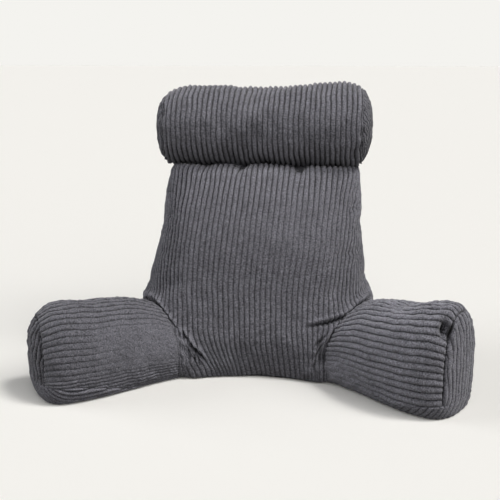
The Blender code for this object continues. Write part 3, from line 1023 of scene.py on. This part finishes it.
# ---------------------------------------------------------------- base cloth
def arm_outline(side, height, count):
    """Level outline of an arm at a height: root, inner face, tip, outer face, root."""
    centre, inwards, half, reach, top_power = arm_frame(side, np.linspace(1.9, len(ARM[side]) - 1.0, 3000))
    rise = (height - centre[:, 2]) / reach
    inside = np.abs(rise) < 1.0
    centre, inwards, half, rise = centre[inside], inwards[inside], half[inside], rise[inside]
    power = np.where(rise > 0.0, top_power[inside], ARM_BASE_POWER)
    out = inwards * (half * (1.0 - np.abs(rise) ** power) ** (1.0 / power))[:, None]
    line = even(np.vstack((centre + out, (centre - out)[::-1]))[:, :2], count)
    return np.column_stack((line, np.full(count, height)))


def arm_strip(cloth, side, rows, count):
    """The edge of the base cloth that is turned up round an arm's foot."""
    levels = np.linspace(0.0005, 0.038, 40)
    stack = np.array([arm_outline(side, value, count) for value in levels])
    seam = strip_height(side, stack[0]) + 0.001
    want = levels[0] + np.linspace(0.0, 1.0, rows)[:, None] * (seam - levels[0])
    grid = sample(stack, (want - levels[0]) / (levels[1] - levels[0]), np.arange(count, dtype=float))
    normal = normals(grid)
    climb = lengths(grid, axis=0)
    if side < 0:
        # these ribs sweep round the lower corner and then run along the arm
        run = lengths(grid[0])
        past = run - run[np.argmax(grid[0, :, 0] < -0.308)]
        x_flat = 1.05 * climb - 1.15 * 0.010 * np.logaddexp(0.0, past / 0.010)[None]
        profile, tall = rib_profile(x_flat / PITCH) ** 2.2, 1.7 - 0.8 * ramp(past, 0.02, 0.05)[None]
    else:
        profile, tall = rib_profile((grid[0, :, 0][None] - 0.55 * climb) / PITCH), 1.0
    edge = climb[-1][None] - climb
    amount = tall * ramp(edge, 0.0, 0.003)
    sink = 0.002 * fall(edge, 0.0, 0.004)
    points = raise_ribs(grid - normal * (sink - 0.0006)[..., None], normal, profile, amount)
    points[..., 2] = np.maximum(points[..., 2], LOWEST_BASE)
    cloth.add(points + SHIFT, profile * amount)


def make_base():
    cloth = Cloth()
    arm_strip(cloth, -1, 56, 900)
    arm_strip(cloth, 1, 22, 520)

    # underside, between the front and back edges of the outline
    foot = backrest_section(np.interp(0.002, BACKREST_LEVELS[:, 0], BACKREST_ROWS), 1200)[0]
    foot[:, 1] -= fall(foot[:, 1], -0.02, 0.02) * front_reach(foot[:, 0], 0.002)
    curves = [foot] + [arm_outline(side, 0.0015, 1500) for side in SIDES]
    c = rib_columns(-40, 40)
    x_all = np.concatenate([curve[:, 0] for curve in curves])
    x_lines = np.clip(c * PITCH, x_all.min() + 1e-4, x_all.max() - 1e-4)
    low, high = np.full(len(c), 9.0), np.full(len(c), -9.0)
    for curve in curves:
        x0, x1 = curve[:, 0], np.roll(curve[:, 0], -1)
        y0, y1 = curve[:, 1], np.roll(curve[:, 1], -1)
        for i, x in enumerate(x_lines):
            hit = ((x0 - x) * (x1 - x) <= 0.0) & (x0 != x1)
            if hit.any():
                y = y0[hit] + (x - x0[hit]) / (x1[hit] - x0[hit]) * (y1[hit] - y0[hit])
                low[i], high[i] = min(low[i], y.min()), max(high[i], y.max())
    y = low[None] + np.linspace(0.0, 1.0, 24)[:, None] * (high - low)[None]
    profile = np.broadcast_to(rib_profile(c)[None], y.shape)
    cloth.add(joined(x_lines[None], y, 0.0016 - 0.0012 * profile) + SHIFT, 0.6 * profile)
    return cloth.build("base_cloth")


# ---------------------------------------------------------------- material
def add_node(tree, kind, inputs=None, operation=None):
    """A new shader node. inputs pairs a socket's name or number with a value or another node's output."""
    node = tree.nodes.new("ShaderNode" + kind)
    if operation:
        node.operation = operation
    for key, value in (inputs or {}).items():
        if isinstance(value, bpy.types.NodeSocket):
            tree.links.new(value, node.inputs[key])
        else:
            node.inputs[key].default_value = value
    return node


def empty_material(name):
    material = bpy.data.materials.new(name)
    material.use_nodes = True
    material.node_tree.nodes.clear()
    return material


# the grooves' colour is painted shade, far darker than the pile, for the shade that falls into them
GROOVE_PAINTED_SHADE = (0.014, 0.014, 0.0162)
PILE_TINT = (0.176, 0.174, 0.198)


def corduroy(name, shade):
    """Wide-ribbed heather plush: painted shade in the dark grooves, paler rib tops, mottled fibres and a soft
    bloom.
    """
    material = empty_material(name)
    tree = material.node_tree
    where = add_node(tree, "TexCoord").outputs["Object"]
    rib = add_node(tree, "Attribute")
    rib.attribute_name = "rib"

    def noise(scale, detail, roughness):
        inputs = {"Vector": where, "Scale": scale, "Detail": detail, "Roughness": roughness}
        return add_node(tree, "TexNoise", inputs).outputs["Fac"]

    def remap(value, low, high, to_low, to_high):
        inputs = {"Value": value, "From Min": low, "From Max": high, "To Min": to_low, "To Max": to_high}
        return add_node(tree, "MapRange", inputs).outputs["Result"]

    def maths(operation, a, b):
        return add_node(tree, "Math", {0: a, 1: b}, operation).outputs[0]

    # the rib value picks a colour from the painted shade of a groove at 0 to the pile at 1
    frayed = maths("ADD", rib.outputs["Fac"], remap(noise(300.0, 2.0, 0.6), 0.25, 0.75, -0.34, 0.34))
    colour = add_node(tree, "ValToRGB", {"Fac": frayed})
    for element, tint in zip(colour.color_ramp.elements, (GROOVE_PAINTED_SHADE, PILE_TINT)):
        element.color = (*(part * shade for part in tint), 1.0)
    fleck = remap(noise(470.0, 2.5, 0.7), 0.28, 0.72, 0.30, 1.72)
    patch = remap(noise(38.0, 3.0, 0.5), 0.25, 0.75, 0.86, 1.14)
    mottling = {0: colour.outputs["Color"], "Scale": maths("MULTIPLY", fleck, patch)}
    nap = add_node(tree, "Bump", {"Strength": 0.6, "Distance": 0.0012, "Height": noise(520.0, 3.0, 0.6)})
    shader = add_node(tree, "BsdfPrincipled", {
        "Base Color": add_node(tree, "VectorMath", mottling, "SCALE").outputs[0],
        "Normal": nap.outputs["Normal"],
        "Roughness": 0.95,
        "Specular IOR Level": 0.15,
        "Sheen Weight": 0.25,
        "Sheen Roughness": 0.5,
    })
    add_node(tree, "OutputMaterial", {0: shader.outputs[0]})
    return material


def finish_piece(obj, node, shade):
    obj.data.materials.append(corduroy(obj.name + "_cloth", shade))
    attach(obj, "root")
    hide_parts(node)


# the last number scales a cover's whole colour; the darker left arm and left end panel are painted shade, and
# the paler right arm and right end panel painted light, as the light falls from the right
finish_piece(make_backrest(), "backrest", 1.0)
finish_piece(make_arm(-1), "arm_left", 0.82)
finish_piece(make_arm(1), "arm_right", 1.18)
finish_piece(make_arm_end(-1), "arm_end_left", 0.84)
finish_piece(make_arm_end(1), "arm_end_right", 1.13)
finish_piece(make_roll(), "neck_roll", 1.0)
finish_piece(make_roll_end(-1), "roll_end_left", 0.95)
finish_piece(make_roll_end(1), "roll_end_right", 0.95)
base_cloth = make_base()
finish_piece(base_cloth, "base_panel", 0.9)


# ---------------------------------------------------------------- stage, light and camera
FLOOR_SEEN = (0.938, 0.927, 0.892)
FLOOR_BOUNCE = (0.24, 0.236, 0.225)
BACKDROP = (0.905, 0.896, 0.863)
SKY_LOW = (0.0, 0.0, 0.0)
SKY_HIGH = (0.05, 0.051, 0.054)
KEY_COLOUR = (1.0, 0.985, 0.965)
SOFTBOX_AT = Vector((0.20, -0.42, 0.84))
SOFTBOX_AXIS = Vector((0.20, -0.42, 0.70))  # from its target to it
AIM = Vector((-0.016, 0.0, 0.225))  # what the camera looks at, in the coordinates of the tables
AIM_DISTANCE = 1.5


def for_camera(tree, others, camera):
    """Shows the output camera to the camera's own rays and the output others to all the rest."""
    seen = add_node(tree, "LightPath").outputs["Is Camera Ray"]
    return add_node(tree, "MixShader", {0: seen, 1: others, 2: camera}).outputs[0]


def studio_floor():
    """A pale paper floor that throws back less light than it shows, as a darker room would."""
    bpy.ops.mesh.primitive_plane_add(size=60.0, location=(0.0, 0.0, -0.0012))
    floor = bpy.context.object
    floor.name = "floor"
    material = empty_material("floor_paper")
    tree = material.node_tree
    bounce, seen = (add_node(tree, "BsdfDiffuse", {"Color": (*colour, 1.0)}).outputs[0]
                    for colour in (FLOOR_BOUNCE, FLOOR_SEEN))
    add_node(tree, "OutputMaterial", {0: for_camera(tree, bounce, seen)})
    floor.data.materials.append(material)
    floor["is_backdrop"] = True
    return floor


def studio_sky():
    """Sky that is bright overhead and dim near the horizon, with the plain backdrop that the camera sees."""
    world = bpy.data.worlds.new("studio")
    bpy.context.scene.world = world
    world.use_nodes = True
    tree = world.node_tree
    tree.nodes.clear()
    direction = add_node(tree, "TexCoord").outputs["Generated"]
    height = add_node(tree, "ValToRGB", {"Fac": add_node(tree, "SeparateXYZ", {0: direction}).outputs["Z"]})
    for element, colour in zip(height.color_ramp.elements, (SKY_LOW, SKY_HIGH)):
        element.color = (*colour, 1.0)
    glow = add_node(tree, "Background", {"Color": height.outputs["Color"]}).outputs[0]
    backdrop = add_node(tree, "Background", {"Color": (*BACKDROP, 1.0)}).outputs[0]
    add_node(tree, "OutputWorld", {"Surface": for_camera(tree, glow, backdrop)})


def towards(azimuth, elevation):
    """Direction seen from the pillow: azimuth 0 is in front and 90 on the right, in degrees."""
    turn, rise = math.radians(azimuth), math.radians(elevation)
    return Vector((math.sin(turn) * math.cos(rise), -math.cos(turn) * math.cos(rise), math.sin(rise)))


def facing(direction):
    return direction.to_track_quat("Z", "Y").to_euler()


def sunlight(name, azimuth, elevation, strength, spread, colour, receivers=None):
    """Soft light from a side. It reaches only the receivers, if any are given, but all objects shade it."""
    light = placed(name, bpy.data.lights.new(name, "SUN"))
    light.data.energy, light.data.angle, light.data.color = strength, math.radians(spread), colour
    light.rotation_euler = facing(towards(azimuth, elevation))
    if receivers:
        light.light_linking.receiver_collection = receivers


def linked(name, objects):
    """A collection of objects that stay where they are, for light linking."""
    group = bpy.data.collections.new(name)
    bpy.context.scene.collection.children.link(group)
    for obj in objects:
        group.objects.link(obj)
    return group


paper = linked("paper", [studio_floor()])
cloths = linked("cloths", [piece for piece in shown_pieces() if piece.type == "MESH"])
studio_sky()
sunlight("key", 80.0, 61.0, 1.72, 12.0, KEY_COLOUR, cloths)
# the two ends of the tall key light, as its shadows on the paper show them
sunlight("key_upper", 80.0, 61.0, 1.15, 12.0, KEY_COLOUR, paper)
sunlight("key_lower", 72.0, 42.0, 0.74, 30.0, KEY_COLOUR, paper)
sunlight("front", 33.0, 43.0, 1.46, 80.0, (1.0, 0.99, 0.98))
sunlight("fill", -90.0, 17.0, 1.42, 45.0, (0.97, 0.98, 1.0))

# a softbox near the pillow, which the paper isn't meant to show
softbox = placed("softbox", bpy.data.lights.new("softbox", "AREA"))
softbox.data.energy = 0.8
softbox.data.size = 0.4
softbox.location = SOFTBOX_AT
softbox.rotation_euler = facing(SOFTBOX_AXIS)
softbox.light_linking.receiver_collection = cloths

bpy.context.scene.view_settings.view_transform = "Standard"

camera = placed("camera", bpy.data.cameras.new("camera"))
camera.data.sensor_width = 36.0
camera.data.lens = 57.78
back = towards(5.8, 14.0)
camera.location = AIM + Vector(SHIFT.tolist()) + AIM_DISTANCE * back
camera.rotation_euler = facing(back)
bpy.context.scene.camera = camera
